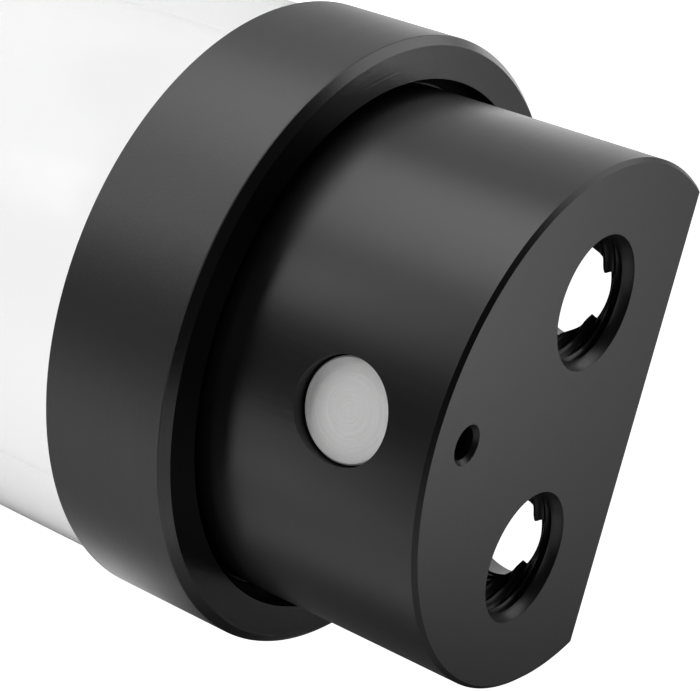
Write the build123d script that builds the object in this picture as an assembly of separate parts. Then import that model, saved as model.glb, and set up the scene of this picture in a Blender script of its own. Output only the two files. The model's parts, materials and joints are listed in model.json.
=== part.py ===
from build123d import *
import math
import os

# All sizes are in millimetres. The reservoir stands on one end face: the origin is the centre
# of that face, +Z runs up the tube, and the flats of both end blocks face +Y.
# A depth is measured along the axis, inwards from the end face of the end block it belongs to.

# Tube
tube_length = 150.0
tube_radius = 30.0
tube_wall = 5.0
tube_entry_chamfer = 0.5

# Thread between the tube's ends and the collars: right-hand, drawn as its two root cylinders
neck_step = 1.0
collar_thread_height = 0.6
collar_thread_play = 0.05

# End block
block_radius = 26.0
block_edge_chamfer = 0.4
flat_distance = 11.0
flat_margin = 3.75
block_shoulder = 3.6
flange_thickness = 4.2
flange_play = 0.1
spigot_length = 6.3
spigot_play = 0.1
spigot_chamfer = 0.6

# Collar
collar_wall = 2.2
collar_length = 14.5
collar_front_chamfer = 0.8
collar_window_play = 1.2
collar_lip_thickness = 2.5
collar_entry_chamfer = 0.5
collar_shoulder_gap = 0.3

# Slip ring between the collar's lip and the flange
slip_ring_thickness = 0.8
slip_ring_play = 0.2

# Ring seals on the spigot
seal_width = 1.8
seal_squeezed_height = 1.45
seal_groove_width = 2.0
seal_land = 0.8
seal_land_between = 0.7
seal_play = 0.05
seal_corner = 0.45

# Ports: pipe threads of a quarter inch, drawn as the cylinder at the thread's root
port_radius = 6.58
port_thread_height = 0.78
port_play = 0.08
port_spacing = 24.7
port_offset = -3.8
port_run_out = 1.97
rear_port_cover = 1.87
rear_thread_length = 8.5
port_drill_radius = 5.9
passage_radius = 5.0

# Bore for a small lamp
lamp_bore_radius = 1.5
lamp_mouth_radius = 1.85
lamp_bore_depth = 20.0
lamp_bore_edge = 5.6
drill_tip_angle = 118.0

# Round badge, bare, in a pocket opposite the flat
badge_radius = 4.75
badge_thickness = 1.2
badge_edge_chamfer = 0.15
badge_depth = 9.7
badge_sink = 1.45
badge_play = 0.15
pad_radius = 4.2
pad_thickness = 0.3

# Stop plugs in the lower end block's rear ports
plug_head_rim = 1.22
plug_head_thickness = 3.0
plug_head_chamfer = 0.4
plug_thread_length = 5.0
plug_tip_chamfer = 0.6
plug_socket_width = 6.0
plug_socket_depth = 4.0
plug_seal_width = 1.7
plug_seal_squeezed_height = 1.2
plug_seal_play = 0.05
plug_seal_corner = 0.35

# Depths and radii that follow from the sizes above
rear_port_depth = port_radius + rear_port_cover
port_depth = rear_port_depth + port_radius + port_run_out
plug_head_radius = port_radius + plug_head_rim
flat_depth = rear_port_depth + plug_head_radius + flat_margin
collar_front_depth = flat_depth + block_shoulder
lamp_bore_offset = lamp_bore_edge - block_radius
tube_bore_radius = tube_radius - tube_wall
collar_thread_radius = tube_radius - neck_step
lip_inner_depth = collar_front_depth + collar_lip_thickness
flange_depth = lip_inner_depth + slip_ring_thickness
tube_end_depth = flange_depth + flange_thickness
block_depth = tube_end_depth + spigot_length
collar_rear_depth = collar_front_depth + collar_length
neck_length = collar_rear_depth + collar_shoulder_gap - tube_end_depth
neck_radius = collar_thread_radius - collar_thread_height
collar_bore_radius = collar_thread_radius + collar_thread_play
collar_radius = collar_bore_radius + collar_wall
collar_window_radius = block_radius + collar_window_play
flange_radius = neck_radius - flange_play
spigot_radius = tube_bore_radius - spigot_play
seal_outer_radius = tube_bore_radius - seal_play
seal_groove_radius = seal_outer_radius - seal_squeezed_height - seal_play
badge_face_distance = block_radius - badge_sink
pocket_radius = badge_radius + badge_play
pocket_floor_distance = badge_face_distance - badge_thickness - pad_thickness
plug_root_radius = port_radius - port_thread_height - port_play
total_height = tube_length + 2 * tube_end_depth

# Where each end block's own frame goes: its end face is at the frame's origin, its body below
ends = {
    "top": Pos(0, 0, total_height),
    "bottom": Rot(0, 180, 0),
}
port_sides = {"left": -port_spacing / 2, "right": port_spacing / 2}


def turned(section):
    """A round piece about Z from its half-section, a list of (radius, height) points."""
    return revolve(Plane.XZ * make_face(Polyline(*section, close=True)), Axis.Z)


def ring(inner_radius, outer_radius, low, high):
    """A plain ring about Z between two heights."""
    return turned([(inner_radius, low), (outer_radius, low), (outer_radius, high), (inner_radius, high)])


def seal_ring(middle_radius, width, height, corner, level):
    """A squeezed ring seal: a section with broken corners, turned about Z at a level."""
    section = Rectangle(width, height)
    section = chamfer(section.vertices(), corner)
    return revolve(Plane.XZ * Pos(middle_radius, level) * section, Axis.Z)


def along_y(piece):
    """Turns a piece made about +Z so that its axis points along +Y."""
    return Rot(-90, 0, 0) * piece


def seal_groove_depths():
    """The depths of the middles of the spigot's two seal grooves."""
    first = tube_end_depth + seal_land + seal_groove_width / 2
    return [first, first + seal_groove_width + seal_land_between]


def block_blank():
    """The end block as it leaves the lathe: round body, flange and spigot with its grooves."""
    blank = turned([
        (0, 0),
        (block_radius - block_edge_chamfer, 0),
        (block_radius, -block_edge_chamfer),
        (block_radius, -flange_depth),
        (flange_radius, -flange_depth),
        (flange_radius, -tube_end_depth),
        (spigot_radius, -tube_end_depth),
        (spigot_radius, spigot_chamfer - block_depth),
        (spigot_radius - spigot_chamfer, -block_depth),
        (0, -block_depth),
    ])
    for depth in seal_groove_depths():
        half = seal_groove_width / 2
        blank -= ring(seal_groove_radius, tube_bore_radius, -depth - half, half - depth)
    return blank


def flat_cutter():
    """What the mill takes off for the flat, down to a round shoulder above the collar."""
    width = block_radius - flat_distance
    place = Pos(0, flat_distance + width / 2, -flat_depth / 2)
    return place * Box(2 * block_radius, width, flat_depth)


def axial_port_cutter(side):
    """A port from the end face and, below its thread, the passage into the tube."""
    step = port_radius - passage_radius
    return Pos(side, port_offset, 0) * turned([
        (0, 0),
        (port_radius, 0),
        (port_radius, -port_depth),
        (passage_radius, -port_depth - step),
        (passage_radius, -block_depth),
        (0, -block_depth),
    ])


def rear_port_cutter(side):
    """A port from the flat: its thread, then the drilled way into the axial port beside it."""
    return Pos(side, flat_distance, -rear_port_depth) * along_y(turned([
        (0, 0),
        (port_radius, 0),
        (port_radius, -rear_thread_length),
        (port_drill_radius, -rear_thread_length - port_radius + port_drill_radius),
        (port_drill_radius, port_offset - flat_distance),
        (0, port_offset - flat_distance),
    ]))


def lamp_bore_cutter():
    """A blind drilled hole with a countersunk mouth."""
    mouth = lamp_mouth_radius - lamp_bore_radius
    tip = lamp_bore_radius / math.tan(math.radians(drill_tip_angle / 2))
    return Pos(0, lamp_bore_offset, 0) * turned([
        (0, 0),
        (lamp_mouth_radius, 0),
        (lamp_bore_radius, -mouth),
        (lamp_bore_radius, -lamp_bore_depth),
        (0, -lamp_bore_depth - tip),
    ])


def badge_pocket_cutter():
    """A flat-bottomed round pocket in the side of the block."""
    length = block_radius - pocket_floor_distance
    place = Pos(0, -pocket_floor_distance - length / 2, -badge_depth)
    return place * along_y(Cylinder(pocket_radius, length))


def end_block(with_badge):
    """One end block. Only the upper one has the badge's pocket and the lamp bore."""
    block = block_blank() - flat_cutter()
    for side in port_sides.values():
        block -= axial_port_cutter(side)
        block -= rear_port_cutter(side)
    if with_badge:
        block -= lamp_bore_cutter()
        block -= badge_pocket_cutter()
    return block


def collar():
    """The union nut: its lip draws the flange onto the tube's end."""
    return turned([
        (collar_window_radius, -collar_front_depth),
        (collar_radius - collar_front_chamfer, -collar_front_depth),
        (collar_radius, -collar_front_depth - collar_front_chamfer),
        (collar_radius, -collar_rear_depth),
        (collar_bore_radius + collar_entry_chamfer, -collar_rear_depth),
        (collar_bore_radius, collar_entry_chamfer - collar_rear_depth),
        (collar_bore_radius, -lip_inner_depth),
        (collar_window_radius, -lip_inner_depth),
    ])


def slip_ring():
    """The flat washer on which the collar's lip turns."""
    return ring(block_radius + slip_ring_play, flange_radius, -flange_depth, -lip_inner_depth)


def spigot_seal(depth):
    """One ring seal, squeezed between its groove and the tube's bore."""
    middle = seal_outer_radius - seal_squeezed_height / 2
    return seal_ring(middle, seal_squeezed_height, seal_width, seal_corner, -depth)


def badge_disc():
    """A round metal disc with a broken front edge. Its face looks along -Y."""
    disc = Cylinder(badge_radius, badge_thickness)
    disc = chamfer(disc.edges().group_by(Axis.Z)[0], badge_edge_chamfer)
    return Pos(0, badge_thickness / 2 - badge_face_distance, -badge_depth) * along_y(disc)


def badge_pad():
    """The adhesive pad that holds the disc to the pocket's floor."""
    middle = pad_thickness / 2 - pocket_floor_distance - pad_thickness
    return Pos(0, middle, -badge_depth) * along_y(Cylinder(pad_radius, pad_thickness))


def tube():
    """The clear tube, with a threaded neck at each end."""
    low = tube_end_depth
    high = total_height - tube_end_depth
    entry = tube_bore_radius + tube_entry_chamfer
    return turned([
        (entry, low),
        (neck_radius, low),
        (neck_radius, low + neck_length),
        (tube_radius, low + neck_length),
        (tube_radius, high - neck_length),
        (neck_radius, high - neck_length),
        (neck_radius, high),
        (entry, high),
        (tube_bore_radius, high - tube_entry_chamfer),
        (tube_bore_radius, low + tube_entry_chamfer),
    ])


def plug_seal_middle():
    """The radius of the middle of the seal under a plug's head."""
    return plug_root_radius + plug_seal_play + plug_seal_width / 2


def in_rear_port(side, piece):
    """Puts a piece made about +Z, seated on the plane Z = 0, on the flat over a rear port."""
    return Pos(side, flat_distance, -rear_port_depth) * along_y(piece)


def stop_plug():
    """A stop plug, head up, with its seal's groove under the head and a hexagon socket."""
    groove = plug_seal_squeezed_height + plug_seal_play
    plug = turned([
        (0, -plug_thread_length),
        (plug_root_radius - plug_tip_chamfer, -plug_thread_length),
        (plug_root_radius, plug_tip_chamfer - plug_thread_length),
        (plug_root_radius, groove),
        (plug_seal_middle() + plug_seal_width / 2 + plug_seal_play, groove),
        (plug_seal_middle() + plug_seal_width / 2 + plug_seal_play, 0),
        (plug_head_radius, 0),
        (plug_head_radius, plug_head_thickness - plug_head_chamfer),
        (plug_head_radius - plug_head_chamfer, plug_head_thickness),
        (0, plug_head_thickness),
    ])
    hexagon = RegularPolygon(plug_socket_width / 2, 6, major_radius=False)
    socket = extrude(hexagon, plug_socket_depth)
    return plug - Pos(0, 0, plug_head_thickness - plug_socket_depth) * socket


def plug_seal():
    """The ring seal squeezed between a plug's head and the flat."""
    height = plug_seal_squeezed_height
    return seal_ring(plug_seal_middle(), plug_seal_width, height, plug_seal_corner, height / 2)


def all_nodes():
    """Every separate piece in its place, by name."""
    nodes = {"tube": tube()}
    for end, place in ends.items():
        nodes[f"{end}_head"] = place * end_block(with_badge=(end == "top"))
        nodes[f"{end}_collar"] = place * collar()
        nodes[f"{end}_slip_ring"] = place * slip_ring()
        for name, depth in zip(("outer", "inner"), seal_groove_depths()):
            nodes[f"{end}_{name}_seal"] = place * spigot_seal(depth)
    nodes["badge_disc"] = ends["top"] * badge_disc()
    nodes["badge_pad"] = ends["top"] * badge_pad()
    for name, side in port_sides.items():
        nodes[f"{name}_plug"] = ends["bottom"] * in_rear_port(-side, stop_plug())
        nodes[f"{name}_plug_seal"] = ends["bottom"] * in_rear_port(-side, plug_seal())
    return nodes


os.makedirs("parts", exist_ok=True)
for name, piece in all_nodes().items():
    export_step(piece, f"parts/{name}.step")
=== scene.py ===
import json
import math

import bmesh
import bpy
from mathutils import Matrix, Vector

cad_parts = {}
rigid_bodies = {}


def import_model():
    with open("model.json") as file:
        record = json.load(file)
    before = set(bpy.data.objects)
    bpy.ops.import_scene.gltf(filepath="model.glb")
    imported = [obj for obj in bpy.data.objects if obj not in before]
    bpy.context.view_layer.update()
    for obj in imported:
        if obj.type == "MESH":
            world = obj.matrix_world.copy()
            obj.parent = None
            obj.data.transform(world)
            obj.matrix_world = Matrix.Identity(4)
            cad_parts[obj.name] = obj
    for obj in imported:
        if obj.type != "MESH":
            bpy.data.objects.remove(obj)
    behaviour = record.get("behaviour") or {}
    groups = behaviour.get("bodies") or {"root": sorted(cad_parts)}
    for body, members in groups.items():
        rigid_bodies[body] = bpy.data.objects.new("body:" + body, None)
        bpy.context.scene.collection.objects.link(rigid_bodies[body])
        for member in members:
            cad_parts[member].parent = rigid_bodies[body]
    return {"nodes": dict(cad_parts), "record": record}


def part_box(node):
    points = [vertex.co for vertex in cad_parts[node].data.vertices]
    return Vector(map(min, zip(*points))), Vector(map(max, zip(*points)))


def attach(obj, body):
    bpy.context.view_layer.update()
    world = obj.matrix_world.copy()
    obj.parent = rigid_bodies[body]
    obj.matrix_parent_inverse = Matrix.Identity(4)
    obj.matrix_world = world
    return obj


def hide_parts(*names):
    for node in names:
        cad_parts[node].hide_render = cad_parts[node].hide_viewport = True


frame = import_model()

# Sizes are in metres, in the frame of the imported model: the reservoir stands on one end face
MM = 0.001
TURN = 2 * math.pi
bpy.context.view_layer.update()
mounts = {mount["name"]: mount for mount in frame["record"]["mounts"]}
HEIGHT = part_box("top_head")[1].z

# End block
BLOCK_RADIUS = 26 * MM
BLOCK_EDGE = 0.4 * MM
FLAT_DISTANCE = 11 * MM
FLAT_DEPTH = 20 * MM
FLANGE_DEPTH = 26.9 * MM
TUBE_END_DEPTH = 31.1 * MM
BLOCK_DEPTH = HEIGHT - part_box("top_head")[0].z
FLANGE_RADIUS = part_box("top_head")[1].x
SPIGOT_RADIUS = 24.9 * MM
SPIGOT_EDGE = 0.6 * MM
GROOVE_RADIUS = 23.45 * MM
GROOVE_HALF = 1.0 * MM
SEAL_DEPTHS = (32.9 * MM, 35.6 * MM)

# Ports
PORT_RADIUS = mounts["top_left_port"]["dims"]["r_mm"] * MM
PORT_X = abs(mounts["top_left_port"]["pos_m"][0])
PORT_Y = mounts["top_left_port"]["pos_m"][1]
PORT_DEPTH = mounts["top_left_port"]["dims"]["length_mm"] * MM
REAR_PORT_DEPTH = HEIGHT - mounts["top_left_rear_port"]["pos_m"][2]
PORT_PITCH = 1.337 * MM
PORT_THREAD = 0.65 * MM
PORT_LEAD = 0.95 * MM
PORT_MOUTH_RADIUS = 6.5 * MM
PORT_LEAD_RADIUS = 5.85 * MM
MOUTH_BREAK = (0.08 * MM, 0.06 * MM)  # across and deep
LEAD_BREAK = (0.1 * MM, 0.25 * MM)
REAR_PORT_LEAD = 3.6 * MM
PASSAGE_RADIUS = 5 * MM
REAR_THREAD_LENGTH = mounts["top_left_rear_port"]["dims"]["length_mm"] * MM
PORT_DRILL_RADIUS = 5.9 * MM
LAMP_RADIUS = mounts["lamp_bore"]["dims"]["r_mm"] * MM
LAMP_MOUTH_RADIUS = 1.9 * MM
LAMP_Y = mounts["lamp_bore"]["pos_m"][1]
LAMP_DEPTH = 20 * MM
LAMP_TIP = 0.9 * MM

# Badge
BADGE_DEPTH = HEIGHT - (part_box("badge_disc")[0].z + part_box("badge_disc")[1].z) / 2
BADGE_RADIUS = (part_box("badge_disc")[1].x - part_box("badge_disc")[0].x) / 2
BADGE_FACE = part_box("badge_disc")[0].y
BADGE_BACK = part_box("badge_disc")[1].y
BADGE_EDGE = 0.15 * MM
POCKET_RADIUS = BADGE_RADIUS + 0.15 * MM
POCKET_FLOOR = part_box("badge_pad")[1].y

# Collar
COLLAR_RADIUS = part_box("top_collar")[1].x
COLLAR_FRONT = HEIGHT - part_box("top_collar")[1].z
COLLAR_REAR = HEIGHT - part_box("top_collar")[0].z
COLLAR_WINDOW = 27.2 * MM
COLLAR_CHAMFER = 0.8 * MM
COLLAR_BORE = 29.05 * MM
COLLAR_ENTRY = 0.5 * MM
LIP_DEPTH = 26.1 * MM
COLLAR_PITCH = 2 * MM
COLLAR_THREAD = 0.55 * MM

# Tube
TUBE_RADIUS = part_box("tube")[1].x
TUBE_BORE = 25 * MM
TUBE_EDGE = 0.5 * MM
NECK_RADIUS = 28.4 * MM
NECK_LENGTH = 7.3 * MM

# Stop plugs
PLUG_HEAD_RADIUS = (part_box("left_plug")[1].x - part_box("left_plug")[0].x) / 2
PLUG_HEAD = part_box("left_plug")[1].y - FLAT_DISTANCE
PLUG_LENGTH = FLAT_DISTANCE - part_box("left_plug")[0].y
PLUG_ROOT = 5.72 * MM
PLUG_THREAD = 0.78 * MM
PLUG_EDGE = 0.4 * MM
PLUG_GROOVE = 1.25 * MM
PLUG_SEAL_OUTER = 7.52 * MM
SOCKET_WIDTH = 6 * MM
SOCKET_DEPTH = 4 * MM

# Ring seals: middle radius, width and height of their section
TUBE_SEAL = (24.2 * MM, 1.45 * MM, 1.8 * MM)
PLUG_SEAL = (6.62 * MM, 1.7 * MM, 1.2 * MM)
PLUG_SEAL_LEVEL = 0.6 * MM
SEAL_ROUNDNESS = 0.6
SEAL_POINTS = 20

# Light and surroundings: how strong the room's light is, how bright the floor is and how wide,
# how far from the axis the floor's glow fades as painted shade round the object's foot, in which its shadow
# shows, and what is seen through the clear tube
DIM_ROOM = 0.04
FLOOR_TONE = 0.8
FLOOR_WIDTH = 12.0
PAINTED_SHADE_REACH = 70 * MM
WHITE_THROUGH = 0.86
DIMMED_THROUGH = 0.85

# Materials
WHITE = (1, 1, 1, 1)
ACRYLIC_IOR = 1.49
RELIEF_DEPTH = 0.05 * MM
SIDE_MARGIN = 0.05 * MM
# How many times the collar's straight side is paler than its face, chamfer and bore, which are darkened as
# painted shade
SIDE_ABOVE_PAINTED_SHADE = 3

# Meshes: how many sides round pieces have, and how they are cut and shaded
EDGE_BREAK = 0.07 * MM
BODY_SIDES = 192
RING_SIDES = 144
SMALL_SIDES = 96
LAMP_SIDES = 48
SMOOTH_ANGLE = math.radians(20)
SQUARE = 0.99999  # the least part of a normal along an axis that makes a face square to it
ROWS_PER_TURN = 10
WALL_TOLERANCE = 0.02 * MM
SLIVER = 0.001 * MM
PAST = 1 * MM  # how far a cutter reaches past what it cuts
ALONG_Y = Matrix.Rotation(-math.pi / 2, 4, "X")


class Value:
    """A node's output that can be used in Python sums, which add Math nodes to its tree."""

    def __init__(self, tree, socket):
        self.tree = tree
        self.socket = socket

    def output(self, key):
        """Another output of the same node."""
        return Value(self.tree, self.socket.node.outputs[key])

    def _math(self, operation, *values, clamp=False):
        settings = {"operation": operation, "use_clamp": clamp}
        return self.tree.node("ShaderNodeMath", settings, dict(enumerate(values)))

    def __add__(self, other):
        return self._math("ADD", self, other)

    __radd__ = __add__

    def __sub__(self, other):
        return self._math("SUBTRACT", self, other)

    def __rsub__(self, other):
        return self._math("SUBTRACT", other, self)

    def __mul__(self, other):
        return self._math("MULTIPLY", self, other)

    __rmul__ = __mul__

    def __truediv__(self, other):
        return self._math("DIVIDE", self, other)

    def __rtruediv__(self, other):
        return self._math("DIVIDE", other, self)

    def __abs__(self):
        return self._math("ABSOLUTE", self)

    def above(self, edge):
        return self._math("GREATER_THAN", self, edge)

    def below(self, edge):
        return self._math("LESS_THAN", self, edge)

    def at_most(self, other):
        return self._math("MINIMUM", self, other)

    def clamped(self):
        return self._math("MULTIPLY", self, 1, clamp=True)

    def root(self):
        return self._math("SQRT", self)

    def cosine(self):
        return self._math("COSINE", self)

    def angle(self, other):
        """The angle whose tangent is self over other."""
        return self._math("ARCTAN2", self, other)


class Tree:
    """A node tree and the one way in which this script adds nodes to it."""

    def __init__(self, nodes, links):
        self.nodes = nodes
        self.links = links

    def node(self, kind, settings=None, values=None):
        """Adds a node: its settings come first, then the numbers or links of its sockets."""
        made = self.nodes.new(kind)
        for name, setting in (settings or {}).items():
            setattr(made, name, setting)
        self.feed(made, values or {})
        return Value(self, made.outputs[0]) if made.outputs else None

    def feed(self, node, values):
        """Gives a node's sockets their numbers or links."""
        for key, value in values.items():
            if isinstance(value, Value):
                self.links.new(value.socket, node.inputs[key])
            else:
                node.inputs[key].default_value = value

    def xyz(self, vector):
        """The three parts of a vector."""
        parts = self.node("ShaderNodeSeparateXYZ", values={"Vector": vector})
        return [parts.output(part) for part in "XYZ"]

    def vector(self, x, y, z):
        return self.node("ShaderNodeCombineXYZ", values={"X": x, "Y": y, "Z": z})

    def colour(self, red, green, blue):
        return self.node("ShaderNodeCombineColor", values={"Red": red, "Green": green, "Blue": blue})

    def place(self):
        """Object coordinates."""
        return self.node("ShaderNodeTexCoord").output("Object")

    def noise(self, vector, scale, detail, roughness):
        values = {"Vector": vector, "Scale": scale, "Detail": detail, "Roughness": roughness}
        return self.node("ShaderNodeTexNoise", values=values)

    def bump(self, height, strength, depth=RELIEF_DEPTH):
        values = {"Strength": strength, "Distance": depth, "Height": height}
        return self.node("ShaderNodeBump", values=values)


def geometry_tree(name, sizes):
    """An empty Geometry Nodes tree that takes a mesh, named sizes and a material, and its wrapper."""
    group = bpy.data.node_groups.new(name, "GeometryNodeTree")
    group.interface.new_socket("Geometry", in_out="INPUT", socket_type="NodeSocketGeometry")
    for size in sizes:
        group.interface.new_socket(size, in_out="INPUT", socket_type="NodeSocketFloat")
    group.interface.new_socket("Material", in_out="INPUT", socket_type="NodeSocketMaterial")
    group.interface.new_socket("Geometry", in_out="OUTPUT", socket_type="NodeSocketGeometry")
    return group, Tree(group.nodes, group.links)


def run_tree(piece, group, values):
    """Gives a piece a Geometry Nodes tree with these inputs and keeps the result as its plain mesh."""
    modifier = piece.modifiers.new(group.name, "NODES")
    modifier.node_group = group
    for item in group.interface.items_tree:
        if item.in_out == "INPUT" and item.name in values:
            modifier[item.identifier] = values[item.name]
    return keep_result(piece)


def keep_result(piece):
    """Turns what a piece's modifiers make into its plain mesh and removes the modifiers."""
    evaluated = piece.evaluated_get(bpy.context.evaluated_depsgraph_get())
    mesh = bpy.data.meshes.new_from_object(evaluated)
    piece.modifiers.clear()
    old = piece.data
    piece.data = mesh
    bpy.data.meshes.remove(old)
    mesh.name = piece.name
    return piece


def thread_tree():
    """Cuts a right-hand helical thread into the round wall of a given radius, about Z.

    Height is how far its crests stand out from the wall: a negative height makes them stand inwards.
    The thread runs between two levels and fades over a short run-out at each end. Start is the part
    of a turn by which it's shifted, so that the crests of one thread lie in the roots of its mate.
    """
    sizes = ("Radius", "Height", "Pitch", "Start", "Low", "High", "Run-out")
    group, tree = geometry_tree("helical thread", sizes)
    inputs = tree.node("NodeGroupInput")
    size = {name: inputs.output(name) for name in sizes}
    x, y, z = tree.xyz(tree.node("GeometryNodeInputPosition"))
    radius = (x * x + y * y).root()
    phase = z / size["Pitch"] - y.angle(x) / TURN + size["Start"]
    # crests and roots are rounded alike, so that they fit those of a mate half a pitch on
    crest = 0.5 - (phase * TURN).cosine() * 0.5
    start = ((z - size["Low"]) / size["Run-out"]).clamped()
    end = ((size["High"] - z) / size["Run-out"]).clamped()
    on_wall = abs(radius - size["Radius"]).below(WALL_TOLERANCE)
    shift = crest * (start * end) * size["Height"] * on_wall / radius
    moved = tree.node("GeometryNodeSetPosition", values={
        "Geometry": inputs.output("Geometry"), "Offset": tree.vector(x * shift, y * shift, 0)})
    real = tree.node("GeometryNodeRealizeInstances", values={"Geometry": moved})
    coated = tree.node("GeometryNodeSetMaterial", values={
        "Geometry": real, "Material": inputs.output("Material")})
    tree.node("NodeGroupOutput", values={"Geometry": coated})
    return group


THREAD = thread_tree()


def wall(radius, start, end, pitch=None):
    """The points of a straight wall in a half-section, close together where a thread will be cut."""
    rows = math.ceil(abs(end - start) / pitch * ROWS_PER_TURN) if pitch else 1
    return [(radius, start + (end - start) * i / rows) for i in range(rows + 1)]


def eased(section, size, corners):
    """A half-section with some of its corners, by number, broken by a small flat."""
    broken = []
    for i, point in enumerate(section):
        if i not in corners:
            broken.append(point)
            continue
        corner = Vector(point)
        sides = (Vector(section[j % len(section)]) - corner for j in (i - 1, i + 1))
        broken += [tuple(corner + side.normalized() * size) for side in sides]
    return broken


def new_piece(name, mesh, material=None):
    """An object at the origin with this mesh."""
    piece = bpy.data.objects.new(name, mesh)
    bpy.context.scene.collection.objects.link(piece)
    if material:
        mesh.materials.append(material)
    return piece


def lathe(name, section, material=None, sides=RING_SIDES):
    """A closed round piece about Z from its half-section, a closed loop of (radius, height) points.

    A point on the axis becomes one vertex.
    """
    body = bmesh.new()
    rings = []
    for radius, height in section:
        if radius == 0:
            rings.append([body.verts.new((0, 0, height))])
            continue
        turns = [TURN * k / sides for k in range(sides)]
        rings.append([body.verts.new((radius * math.cos(a), radius * math.sin(a), height)) for a in turns])
    for ring, following in zip(rings, rings[1:] + rings[:1]):
        if len(ring) == 1 and len(following) == 1:
            continue
        for k in range(sides):
            corners = [ring[k % len(ring)], ring[(k + 1) % len(ring)],
                       following[(k + 1) % len(following)], following[k % len(following)]]
            body.faces.new(list(dict.fromkeys(corners)))
    bmesh.ops.recalc_face_normals(body, faces=body.faces)
    mesh = bpy.data.meshes.new(name)
    body.to_mesh(mesh)
    body.free()
    return new_piece(name, mesh, material)


def threaded(piece, radius, height, pitch, low, high, run_out, material=None, start=0.0):
    """A piece with the thread of thread_tree cut into one of its walls."""
    values = {"Radius": radius, "Height": height, "Pitch": pitch, "Start": start, "Low": low, "High": high,
              "Run-out": run_out, "Material": material}
    return run_tree(piece, THREAD, values)


def placed(piece, place):
    """Puts a place into a piece's mesh, so that its object stays at the origin."""
    piece.data.transform(place)
    return piece


def smooth(piece):
    """Shades a piece smooth, apart from its edges and the flat faces that lie square to an axis."""
    for face in piece.data.polygons:
        face.use_smooth = max(abs(part) for part in face.normal) < SQUARE
    piece.data.set_sharp_from_angle(angle=SMOOTH_ANGLE)
    return piece


def carve(piece, cutters):
    """Cuts closed pieces out of another, removes them and cleans the triangles that are left."""
    for cutter in cutters:
        cut = piece.modifiers.new(cutter.name, "BOOLEAN")
        cut.operation = "DIFFERENCE"
        cut.solver = "MANIFOLD"
        cut.object = cutter
    bpy.context.view_layer.update()
    keep_result(piece)
    for cutter in cutters:
        bpy.data.objects.remove(cutter)
    body = bmesh.new()
    body.from_mesh(piece.data)
    bmesh.ops.dissolve_degenerate(body, dist=SLIVER, edges=body.edges[:])
    bmesh.ops.triangulate(body, faces=body.faces[:], quad_method="BEAUTY", ngon_method="BEAUTY")
    body.to_mesh(piece.data)
    body.free()
    return piece


def end_place(end):
    """Where an end block's own frame goes: its end face is at the frame's origin, its body below."""
    if end == "top":
        return Matrix.Translation((0, 0, HEIGHT))
    return Matrix.Rotation(math.pi, 4, "Y")


def box_mesh(name, low, high):
    """A plain closed block between two corners, for cutting."""
    body = bmesh.new()
    bmesh.ops.create_cube(body, size=1)
    middle = (Vector(low) + Vector(high)) / 2
    size = Matrix.Diagonal(Vector(high) - Vector(low)).to_4x4()
    bmesh.ops.transform(body, matrix=Matrix.Translation(middle) @ size, verts=body.verts)
    mesh = bpy.data.meshes.new(name)
    body.to_mesh(mesh)
    body.free()
    return new_piece(name, mesh)


def port_cutter(name, mouth, depth, lead, tail):
    """A port about Z with its mouth at height 0: a smooth lead, its thread, and what lies below."""
    start = mouth[-1][1] if len(mouth) > 1 else 0
    section = [(0, PAST)] + mouth + wall(PORT_RADIUS, start, -depth, PORT_PITCH) + tail
    cutter = lathe(name, section, sides=SMALL_SIDES)
    return threaded(cutter, PORT_RADIUS, -PORT_THREAD, PORT_PITCH, -depth, -lead, PORT_THREAD)


def axial_port(side):
    """A port in the end face: a conical mouth with broken edges, a thread and a way into the tube."""
    step = PORT_RADIUS - PASSAGE_RADIUS
    tail = [(PASSAGE_RADIUS, -PORT_DEPTH - step), (PASSAGE_RADIUS, -BLOCK_DEPTH - PAST),
            (0, -BLOCK_DEPTH - PAST)]
    mouth = [(PORT_MOUTH_RADIUS, PAST), (PORT_MOUTH_RADIUS, 0),
             (PORT_MOUTH_RADIUS - MOUTH_BREAK[0], -MOUTH_BREAK[1]),
             (PORT_LEAD_RADIUS + LEAD_BREAK[0], LEAD_BREAK[1] - PORT_LEAD),
             (PORT_LEAD_RADIUS, -PORT_LEAD)]
    cutter = port_cutter("axial port", mouth, PORT_DEPTH, PORT_LEAD, tail)
    return placed(cutter, Matrix.Translation((side, PORT_Y, 0)))


def rear_port(side):
    """A port in the flat, drilled on into the axial port."""
    step = PORT_RADIUS - PORT_DRILL_RADIUS
    bottom = PORT_Y - FLAT_DISTANCE
    tail = [(PORT_DRILL_RADIUS, -REAR_THREAD_LENGTH - step), (PORT_DRILL_RADIUS, bottom), (0, bottom)]
    cutter = port_cutter("rear port", [(PORT_RADIUS, PAST)], REAR_THREAD_LENGTH, REAR_PORT_LEAD, tail)
    return placed(cutter, Matrix.Translation((side, FLAT_DISTANCE, -REAR_PORT_DEPTH)) @ ALONG_Y)


def lamp_bore():
    """The small bore in the end face, with its countersink and the tip of its drill."""
    mouth = LAMP_MOUTH_RADIUS - LAMP_RADIUS
    section = [(0, PAST), (LAMP_MOUTH_RADIUS, PAST), (LAMP_MOUTH_RADIUS, 0), (LAMP_RADIUS, -mouth),
               (LAMP_RADIUS, -LAMP_DEPTH), (0, -LAMP_DEPTH - LAMP_TIP)]
    return placed(lathe("lamp bore", section, sides=LAMP_SIDES), Matrix.Translation((0, LAMP_Y, 0)))


def badge_pocket():
    """The round pocket for the badge, in the block's side across from the flat."""
    section = [(0, -POCKET_FLOOR), (POCKET_RADIUS, -POCKET_FLOOR),
               (POCKET_RADIUS, BLOCK_RADIUS + PAST), (0, BLOCK_RADIUS + PAST)]
    pocket = lathe("badge pocket", section, sides=SMALL_SIDES)
    return placed(pocket, Matrix.Translation((0, 0, -BADGE_DEPTH)) @ ALONG_Y.inverted())


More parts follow.
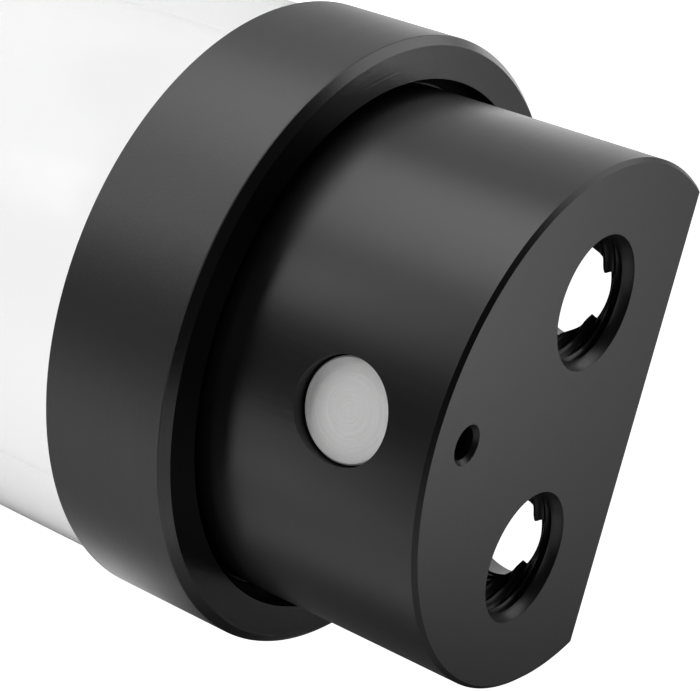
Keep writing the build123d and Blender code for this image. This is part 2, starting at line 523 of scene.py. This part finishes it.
def end_block(end, material):
    """An end block: turned, milled flat on one side, bored and tapped."""
    section = [(0, 0), (BLOCK_RADIUS - BLOCK_EDGE, 0), (BLOCK_RADIUS, -BLOCK_EDGE),
               (BLOCK_RADIUS, -FLANGE_DEPTH), (FLANGE_RADIUS, -FLANGE_DEPTH),
               (FLANGE_RADIUS, -TUBE_END_DEPTH), (SPIGOT_RADIUS, -TUBE_END_DEPTH)]
    for depth in SEAL_DEPTHS:
        section += [(SPIGOT_RADIUS, GROOVE_HALF - depth), (GROOVE_RADIUS, GROOVE_HALF - depth),
                    (GROOVE_RADIUS, -GROOVE_HALF - depth), (SPIGOT_RADIUS, -GROOVE_HALF - depth)]
    section += [(SPIGOT_RADIUS, SPIGOT_EDGE - BLOCK_DEPTH), (SPIGOT_RADIUS - SPIGOT_EDGE, -BLOCK_DEPTH),
                (0, -BLOCK_DEPTH)]
    block = lathe(f"{end}_block", section, material, sides=BODY_SIDES)
    cutters = [box_mesh("flat", (-BLOCK_RADIUS, FLAT_DISTANCE, -FLAT_DEPTH),
                        (BLOCK_RADIUS, BLOCK_RADIUS + PAST, PAST))]
    for side in (-PORT_X, PORT_X):
        cutters += [axial_port(side), rear_port(side)]
    if end == "top":
        cutters += [lamp_bore(), badge_pocket()]
    block = smooth(placed(carve(block, cutters), end_place(end)))
    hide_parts(f"{end}_head")
    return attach(block, "cap" if end == "top" else "base")


def collar(end, material):
    """A smooth screwed collar with a thread inside."""
    section = [(COLLAR_WINDOW, -COLLAR_FRONT), (COLLAR_RADIUS - COLLAR_CHAMFER, -COLLAR_FRONT),
               (COLLAR_RADIUS, -COLLAR_FRONT - COLLAR_CHAMFER), (COLLAR_RADIUS, -COLLAR_REAR),
               (COLLAR_BORE + COLLAR_ENTRY, -COLLAR_REAR)]
    section += wall(COLLAR_BORE, COLLAR_ENTRY - COLLAR_REAR, -TUBE_END_DEPTH, COLLAR_PITCH)
    section += [(COLLAR_BORE, -LIP_DEPTH), (COLLAR_WINDOW, -LIP_DEPTH)]
    section = eased(section, EDGE_BREAK, (2, 3))
    ring = placed(lathe(f"{end}_nut_ring", section, material, sides=BODY_SIDES), end_place(end))
    levels = sorted(place_level(end, depth) for depth in (TUBE_END_DEPTH, COLLAR_REAR - COLLAR_ENTRY))
    threaded(ring, COLLAR_BORE, -COLLAR_THREAD, COLLAR_PITCH, *levels, COLLAR_THREAD, material)
    smooth(ring)
    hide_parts(f"{end}_collar")
    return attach(ring, f"{end}_nut")


def place_level(end, depth):
    """The height in the frame of a depth below an end's face."""
    return HEIGHT - depth if end == "top" else depth


def tube(material):
    """The clear tube with its two threaded necks."""
    low, high = TUBE_END_DEPTH, HEIGHT - TUBE_END_DEPTH
    section = [(TUBE_BORE + TUBE_EDGE, low)]
    section += wall(NECK_RADIUS, low, low + NECK_LENGTH, COLLAR_PITCH)
    section += [(TUBE_RADIUS, low + NECK_LENGTH), (TUBE_RADIUS, high - NECK_LENGTH)]
    section += wall(NECK_RADIUS, high - NECK_LENGTH, high, COLLAR_PITCH)
    section += [(TUBE_BORE + TUBE_EDGE, high), (TUBE_BORE, high - TUBE_EDGE), (TUBE_BORE, low + TUBE_EDGE)]
    piece = lathe("clear_tube", section, material, sides=BODY_SIDES)
    for neck in (low, high - NECK_LENGTH):
        threaded(piece, NECK_RADIUS, COLLAR_THREAD, COLLAR_PITCH, neck, neck + NECK_LENGTH, COLLAR_THREAD,
                 material, start=0.5)
    smooth(piece)
    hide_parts("tube")
    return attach(piece, "vessel")


def ring_seal(name, node, body, sizes, place, material):
    """A squeezed ring seal with a rounded section, in its CAD ring's place."""
    middle_radius, width, height = sizes
    section = []
    for k in range(SEAL_POINTS):
        turn = TURN * k / SEAL_POINTS
        across, along = (math.copysign(abs(part) ** SEAL_ROUNDNESS, part)
                         for part in (math.cos(turn), math.sin(turn)))
        section.append((middle_radius + width / 2 * across, height / 2 * along))
    piece = smooth(placed(lathe(name, section, material), place))
    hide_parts(node)
    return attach(piece, body)


def stop_plug(side, x, material):
    """A stop plug with a hexagon socket, seated on the lower block's flat."""
    section = [(0, -PLUG_LENGTH), (PLUG_ROOT - PLUG_THREAD, -PLUG_LENGTH)]
    section += wall(PLUG_ROOT, PLUG_THREAD - PLUG_LENGTH, 0, PORT_PITCH)
    section += [(PLUG_ROOT, PLUG_GROOVE), (PLUG_SEAL_OUTER, PLUG_GROOVE), (PLUG_SEAL_OUTER, 0),
                (PLUG_HEAD_RADIUS, 0), (PLUG_HEAD_RADIUS, PLUG_HEAD - PLUG_EDGE),
                (PLUG_HEAD_RADIUS - PLUG_EDGE, PLUG_HEAD), (0, PLUG_HEAD)]
    plug = lathe(f"{side}_stop_plug", section, material, sides=SMALL_SIDES)
    threaded(plug, PLUG_ROOT, PLUG_THREAD, PORT_PITCH, PLUG_THREAD - PLUG_LENGTH, 0, PLUG_THREAD, material)
    corner = SOCKET_WIDTH / 2 / math.cos(math.pi / 6)
    key = lathe("hexagon key", [(0, PLUG_HEAD - SOCKET_DEPTH), (corner, PLUG_HEAD - SOCKET_DEPTH),
                                (corner, PLUG_HEAD + PAST), (0, PLUG_HEAD + PAST)], sides=6)
    carve(plug, [key])
    smooth(placed(plug, Matrix.Translation((x, FLAT_DISTANCE, REAR_PORT_DEPTH)) @ ALONG_Y))
    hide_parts(f"{side}_plug")
    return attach(plug, f"{side}_plug_body")


def badge(material):
    """The bare metal disc in its pocket, with a broken front edge."""
    middle = Matrix.Translation((0, 0, HEIGHT - BADGE_DEPTH)) @ ALONG_Y.inverted()
    front, back = -BADGE_FACE, -BADGE_BACK
    section = [(0, front), (BADGE_RADIUS - BADGE_EDGE, front), (BADGE_RADIUS, front - BADGE_EDGE),
               (BADGE_RADIUS, back), (0, back)]
    disc = smooth(placed(lathe("round_badge", section, material, sides=SMALL_SIDES), middle))
    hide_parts("badge_disc")
    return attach(disc, "cap")


def new_material(name):
    """An empty node material: itself, its tree and its shader."""
    material = bpy.data.materials.new(name)
    material.use_nodes = True
    tree = Tree(material.node_tree.nodes, material.node_tree.links)
    return material, tree, material.node_tree.nodes["Principled BSDF"]


def turned_coordinates(tree, place):
    """A place's radius and height about the axis, in millimetres, and between them its part of a turn."""
    x, y, z = tree.xyz(place)
    radius = (x * x + y * y).root()
    return radius / MM, y.angle(x) / TURN, z / MM


def acetal_material(name, tone, roughness, ior, relief, rough_side=0.0):
    """Black machined acetal: fine turning marks and a mineral grain, in tone and in relief.

    A rough side adds roughness to the straight side of a collar. A collar's face, chamfer and bore are
    painted darker than its side, as painted shade.
    """
    material, tree, shader = new_material(name)
    place = tree.place()
    radius, turn, level = turned_coordinates(tree, place)
    side = radius.above((COLLAR_RADIUS - SIDE_MARGIN) / MM)
    grain = tree.noise(place, scale=3600, detail=3, roughness=0.7)
    cloud = tree.noise(place, scale=60, detail=4, roughness=0.6)
    marks = tree.noise(tree.vector(radius * 9, level * 9, turn * 3), scale=1, detail=3, roughness=0.7)
    # painted shade: a collar's face, chamfer and bore get a darker tone than its straight side, whose tone
    # this factor raises
    shade = tone * (0.75 + 0.3 * cloud + 0.2 * grain) * (1 + SIDE_ABOVE_PAINTED_SHADE * side)
    tree.feed(shader, {
        "Base Color": tree.colour(shade, shade, shade * 1.02),
        "Roughness": (roughness - 0.08) + 0.1 * marks + 0.06 * cloud + rough_side * side,
        "Normal": tree.bump(grain * 0.5 + marks * 0.5, relief),
        "IOR": ior,
    })
    return material


def acrylic_material():
    """Clear polished acrylic with faint drawing lines along the tube."""
    material, tree, shader = new_material("clear acrylic")
    radius, turn, level = turned_coordinates(tree, tree.place())
    lines = tree.noise(tree.vector(turn * 60, level * 0.02, radius * 0.2), scale=1, detail=2, roughness=0.5)
    tree.feed(shader, {
        "Base Color": WHITE,
        "Transmission Weight": 1.0,
        "IOR": ACRYLIC_IOR,
        "Specular IOR Level": 0.25,
        "Roughness": 0.02 + 0.03 * lines,
        "Normal": tree.bump(lines, 0.05),
    })
    return material


def rubber_material():
    """Black seal rubber with a dusty grain."""
    material, tree, shader = new_material("seal rubber")
    grain = tree.noise(tree.place(), scale=2500, detail=4, roughness=0.6)
    shade = 0.012 + 0.012 * grain
    tree.feed(shader, {
        "Base Color": tree.colour(shade, shade, shade),
        "Roughness": 0.5 + 0.2 * grain,
        "Normal": tree.bump(grain, 0.15),
    })
    return material


def washer_material():
    """Black low-friction plastic, dull, with fine turned rings; its black is made darker than the plastic's
    own, as painted shade in the gap under the collar.
    """
    material, tree, shader = new_material("dull plastic")
    radius, turn, level = turned_coordinates(tree, tree.place())
    rings = tree.noise(tree.vector(radius * 12, turn * 2, level), scale=1, detail=3, roughness=0.6)
    # partly painted shade: the plastic's own black, pushed darker so that the slip ring reads as the shade
    # in the collar's gap
    shade = 0.0005 + 0.001 * rings
    tree.feed(shader, {
        "Base Color": tree.colour(shade, shade, shade),
        "Roughness": 0.55 + 0.2 * rings,
        "Specular IOR Level": 0.05,
        "Normal": tree.bump(rings, 0.1),
    })
    return material


def badge_material():
    """Pale spun metal: fine rings about the disc's centre."""
    material, tree, shader = new_material("spun metal")
    place = tree.place()
    x, _, z = tree.xyz(place)
    level = z - (HEIGHT - BADGE_DEPTH)
    radius = (x * x + level * level).root() / MM
    rings = tree.noise(tree.vector(radius * 9, level.angle(x) * 0.4, 0), scale=1, detail=4, roughness=0.65)
    grain = tree.noise(place, scale=6000, detail=2, roughness=0.6)
    shade = 0.72 + 0.34 * rings + 0.06 * grain
    tree.feed(shader, {
        "Base Color": tree.colour(shade, shade, shade * 0.995),
        "Metallic": 0.05,
        "Roughness": 0.4 + 0.14 * rings,
        "Normal": tree.bump(rings, 0.7),
    })
    return material


def plug_material():
    """Black plated brass, a little glossier than the acetal."""
    material, tree, shader = new_material("black plating")
    grain = tree.noise(tree.place(), scale=1800, detail=4, roughness=0.55)
    shade = 0.03 + 0.02 * grain
    tree.feed(shader, {
        "Base Color": tree.colour(shade, shade, shade * 1.03),
        "Metallic": 0.6,
        "Roughness": 0.28 + 0.1 * grain,
        "Normal": tree.bump(grain, 0.08, depth=0.03 * MM),
    })
    return material


def floor_material():
    """A plain pale floor, white to the camera, apart from painted shade round the object's foot, where its
    glow fades, and the object's shadow that shows there.
    """
    material, tree, shader = new_material("pale floor")
    place = tree.place()
    tone = tree.noise(place, scale=3, detail=2, roughness=0.5)
    straight, through = directly_seen(tree)
    shade = (FLOOR_TONE + 0.02 * tone) * (1 - DIMMED_THROUGH * through)
    x, y, _ = tree.xyz(place)
    # painted shade: the floor's glow fades towards the axis, darkening the floor round the object's foot,
    # in which its real shadow also shows
    away = ((x * x + y * y).root() / PAINTED_SHADE_REACH).at_most(1)
    glow = straight * away + through * WHITE_THROUGH
    tree.feed(shader, {
        "Base Color": tree.colour(shade, shade, shade),
        "Roughness": 0.9,
        "Specular IOR Level": 0.0,
        "Emission Color": tree.colour(glow, glow, glow),
        "Emission Strength": 1.0,
    })
    return material


def directly_seen(tree):
    """Whether the camera sees something straight, and whether it sees it through clear material."""
    path = tree.node("ShaderNodeLightPath")
    return path.output("Is Camera Ray"), path.output("Is Transmission Ray")


def stage():
    """The floor and the surroundings."""
    half = FLOOR_WIDTH / 2
    body = bmesh.new()
    body.faces.new([body.verts.new((x, y, 0)) for x, y in (
        (-half, -half), (half, -half), (half, half), (-half, half))])
    mesh = bpy.data.meshes.new("floor")
    body.to_mesh(mesh)
    body.free()
    new_piece("floor", mesh, floor_material())

    world = bpy.data.worlds.new("surroundings")
    bpy.context.scene.world = world
    world.use_nodes = True
    tree = Tree(world.node_tree.nodes, world.node_tree.links)
    straight, through = directly_seen(tree)
    tree.feed(world.node_tree.nodes["Background"], {
        "Color": WHITE, "Strength": DIM_ROOM + straight + through * WHITE_THROUGH})


def softbox(name, place, target, width, height, radiance):
    """A large area lamp that faces a target, set by how bright its face is."""
    data = bpy.data.lights.new(name, "AREA")
    data.shape = "RECTANGLE"
    data.size = width
    data.size_y = height
    data.energy = radiance * math.pi * width * height
    lamp = bpy.data.objects.new(name, data)
    bpy.context.scene.collection.objects.link(lamp)
    lamp.location = place
    lamp.rotation_euler = (Vector(target) - Vector(place)).to_track_quat("-Z", "Y").to_euler()
    lamp.visible_camera = False
    lamp.visible_transmission = False


def panel(name, azimuth, distance, low, high, width, radiance):
    """An upright softbox round the object, between two heights."""
    angle = math.radians(azimuth)
    middle = (low + high) / 2
    place = (distance * math.cos(angle), distance * math.sin(angle), middle)
    softbox(name, place, (0, 0, middle), width, high - low, radiance)


# Panels: name, azimuth in degrees, distance from the axis, lower and upper edge, width, radiance
PANELS = (
    ("back near", 84, 0.2, 0.36, 0.46, 0.14, 3.4),
    ("left key", -161, 0.22, 0.02, 0.2, 0.16, 3.3),
    ("left front low", -132, 0.24, 0.005, 0.12, 0.1, 1.45),
    ("front low", -116, 0.24, 0.005, 0.065, 0.08, 4.7),
    ("left back", 142, 0.25, 0.01, 0.2, 0.28, 0.8),
    ("left back high", 148, 0.25, 0.21, 0.42, 0.2, 1.75),
    ("back edge", 103, 0.25, 0.01, 0.2, 0.12, 1.06),
    ("back low", 112, 0.25, 0.005, 0.075, 0.14, 0.75),
    ("front right low", -50, 0.26, 0.005, 0.07, 0.14, 2.0),
    ("right front", -22, 0.26, 0.01, 0.2, 0.18, 0.84),
    ("right front high", -35, 0.26, 0.21, 0.56, 0.26, 0.6),
    ("right high", 3, 0.26, 0.25, 0.46, 0.2, 0.28),
    ("front high", -95, 0.3, 0.22, 0.36, 0.3, 1.0),
    ("right card", 28, 0.07, 0.01, 0.145, 0.06, 2.0),
)


def lamps():
    """Soft lamps, whose reflections give the plastic the photograph's bands of light."""
    top = (0, 0, HEIGHT)
    softbox("back top", (-0.06, 0.71, 0.575), top, 0.7, 0.4, 0.25)
    softbox("back top high", (-0.08, 0.62, 0.75), top, 0.5, 0.3, 0.5)
    for row in PANELS:
        panel(*row)


def keep_lamps_off(piece):
    """Leaves a clear piece out of the lamps' light, so that it shows the pale surroundings alone."""
    unlit = bpy.data.collections.new("out of the lamps' light")
    unlit.objects.link(piece)
    unlit.collection_objects[0].light_linking.link_state = "EXCLUDE"
    for thing in bpy.context.scene.objects:
        if thing.type == "LIGHT":
            thing.light_linking.receiver_collection = unlit


def camera():
    """The photograph's view: the place and turn found from the object's edges."""
    data = bpy.data.cameras.new("camera")
    data.sensor_width = 36.0
    data.lens = 112.3
    data.clip_start = 0.01
    eye = bpy.data.objects.new("camera", data)
    bpy.context.scene.collection.objects.link(eye)
    right = Vector((-0.244100, 0.558454, 0.792808))
    up = Vector((-0.947809, 0.035532, -0.316853))
    back = Vector((-0.205117, -0.828774, 0.520634))
    turn = Matrix((right, up, back)).transposed().to_4x4()
    place = Vector((-43.66 * MM, -179.34 * MM, HEIGHT + 85.98 * MM))
    eye.matrix_world = Matrix.Translation(place) @ turn
    bpy.context.scene.camera = eye


def node_material(node, material):
    """Gives a CAD node that stays in view a finish."""
    for slot in frame["nodes"][node].material_slots:
        slot.material = material


camera()
stage()
lamps()

block_plastic = acetal_material("machined acetal", tone=0.003, roughness=0.36, ior=1.48, relief=0.12)
# The collar's low tone is painted shade on its face, chamfer and bore; its straight side is raised to its
# own black
collar_plastic = acetal_material(
    "turned acetal", tone=0.001, roughness=0.23, ior=1.6, relief=0.5, rough_side=0.2)
rubber = rubber_material()
washer = washer_material()
plating = plug_material()

for end in ("top", "bottom"):
    holder = "cap" if end == "top" else "base"
    end_block(end, block_plastic)
    collar(end, collar_plastic)
    node_material(f"{end}_slip_ring", washer)
    for name, depth in zip(("outer", "inner"), SEAL_DEPTHS):
        place = end_place(end) @ Matrix.Translation((0, 0, -depth))
        ring_seal(f"{end}_{name}_ring", f"{end}_{name}_seal", holder, TUBE_SEAL, place, rubber)
keep_lamps_off(tube(acrylic_material()))
badge(badge_material())
node_material("badge_pad", rubber)
for side, x in (("left", -PORT_X), ("right", PORT_X)):
    stop_plug(side, x, plating)
    place = Matrix.Translation((x, FLAT_DISTANCE + PLUG_SEAL_LEVEL, REAR_PORT_DEPTH)) @ ALONG_Y
    ring_seal(f"{side}_plug_ring_seal", f"{side}_plug_seal", f"{side}_plug_ring", PLUG_SEAL, place, rubber)

bpy.context.scene.view_settings.view_transform = "Standard"
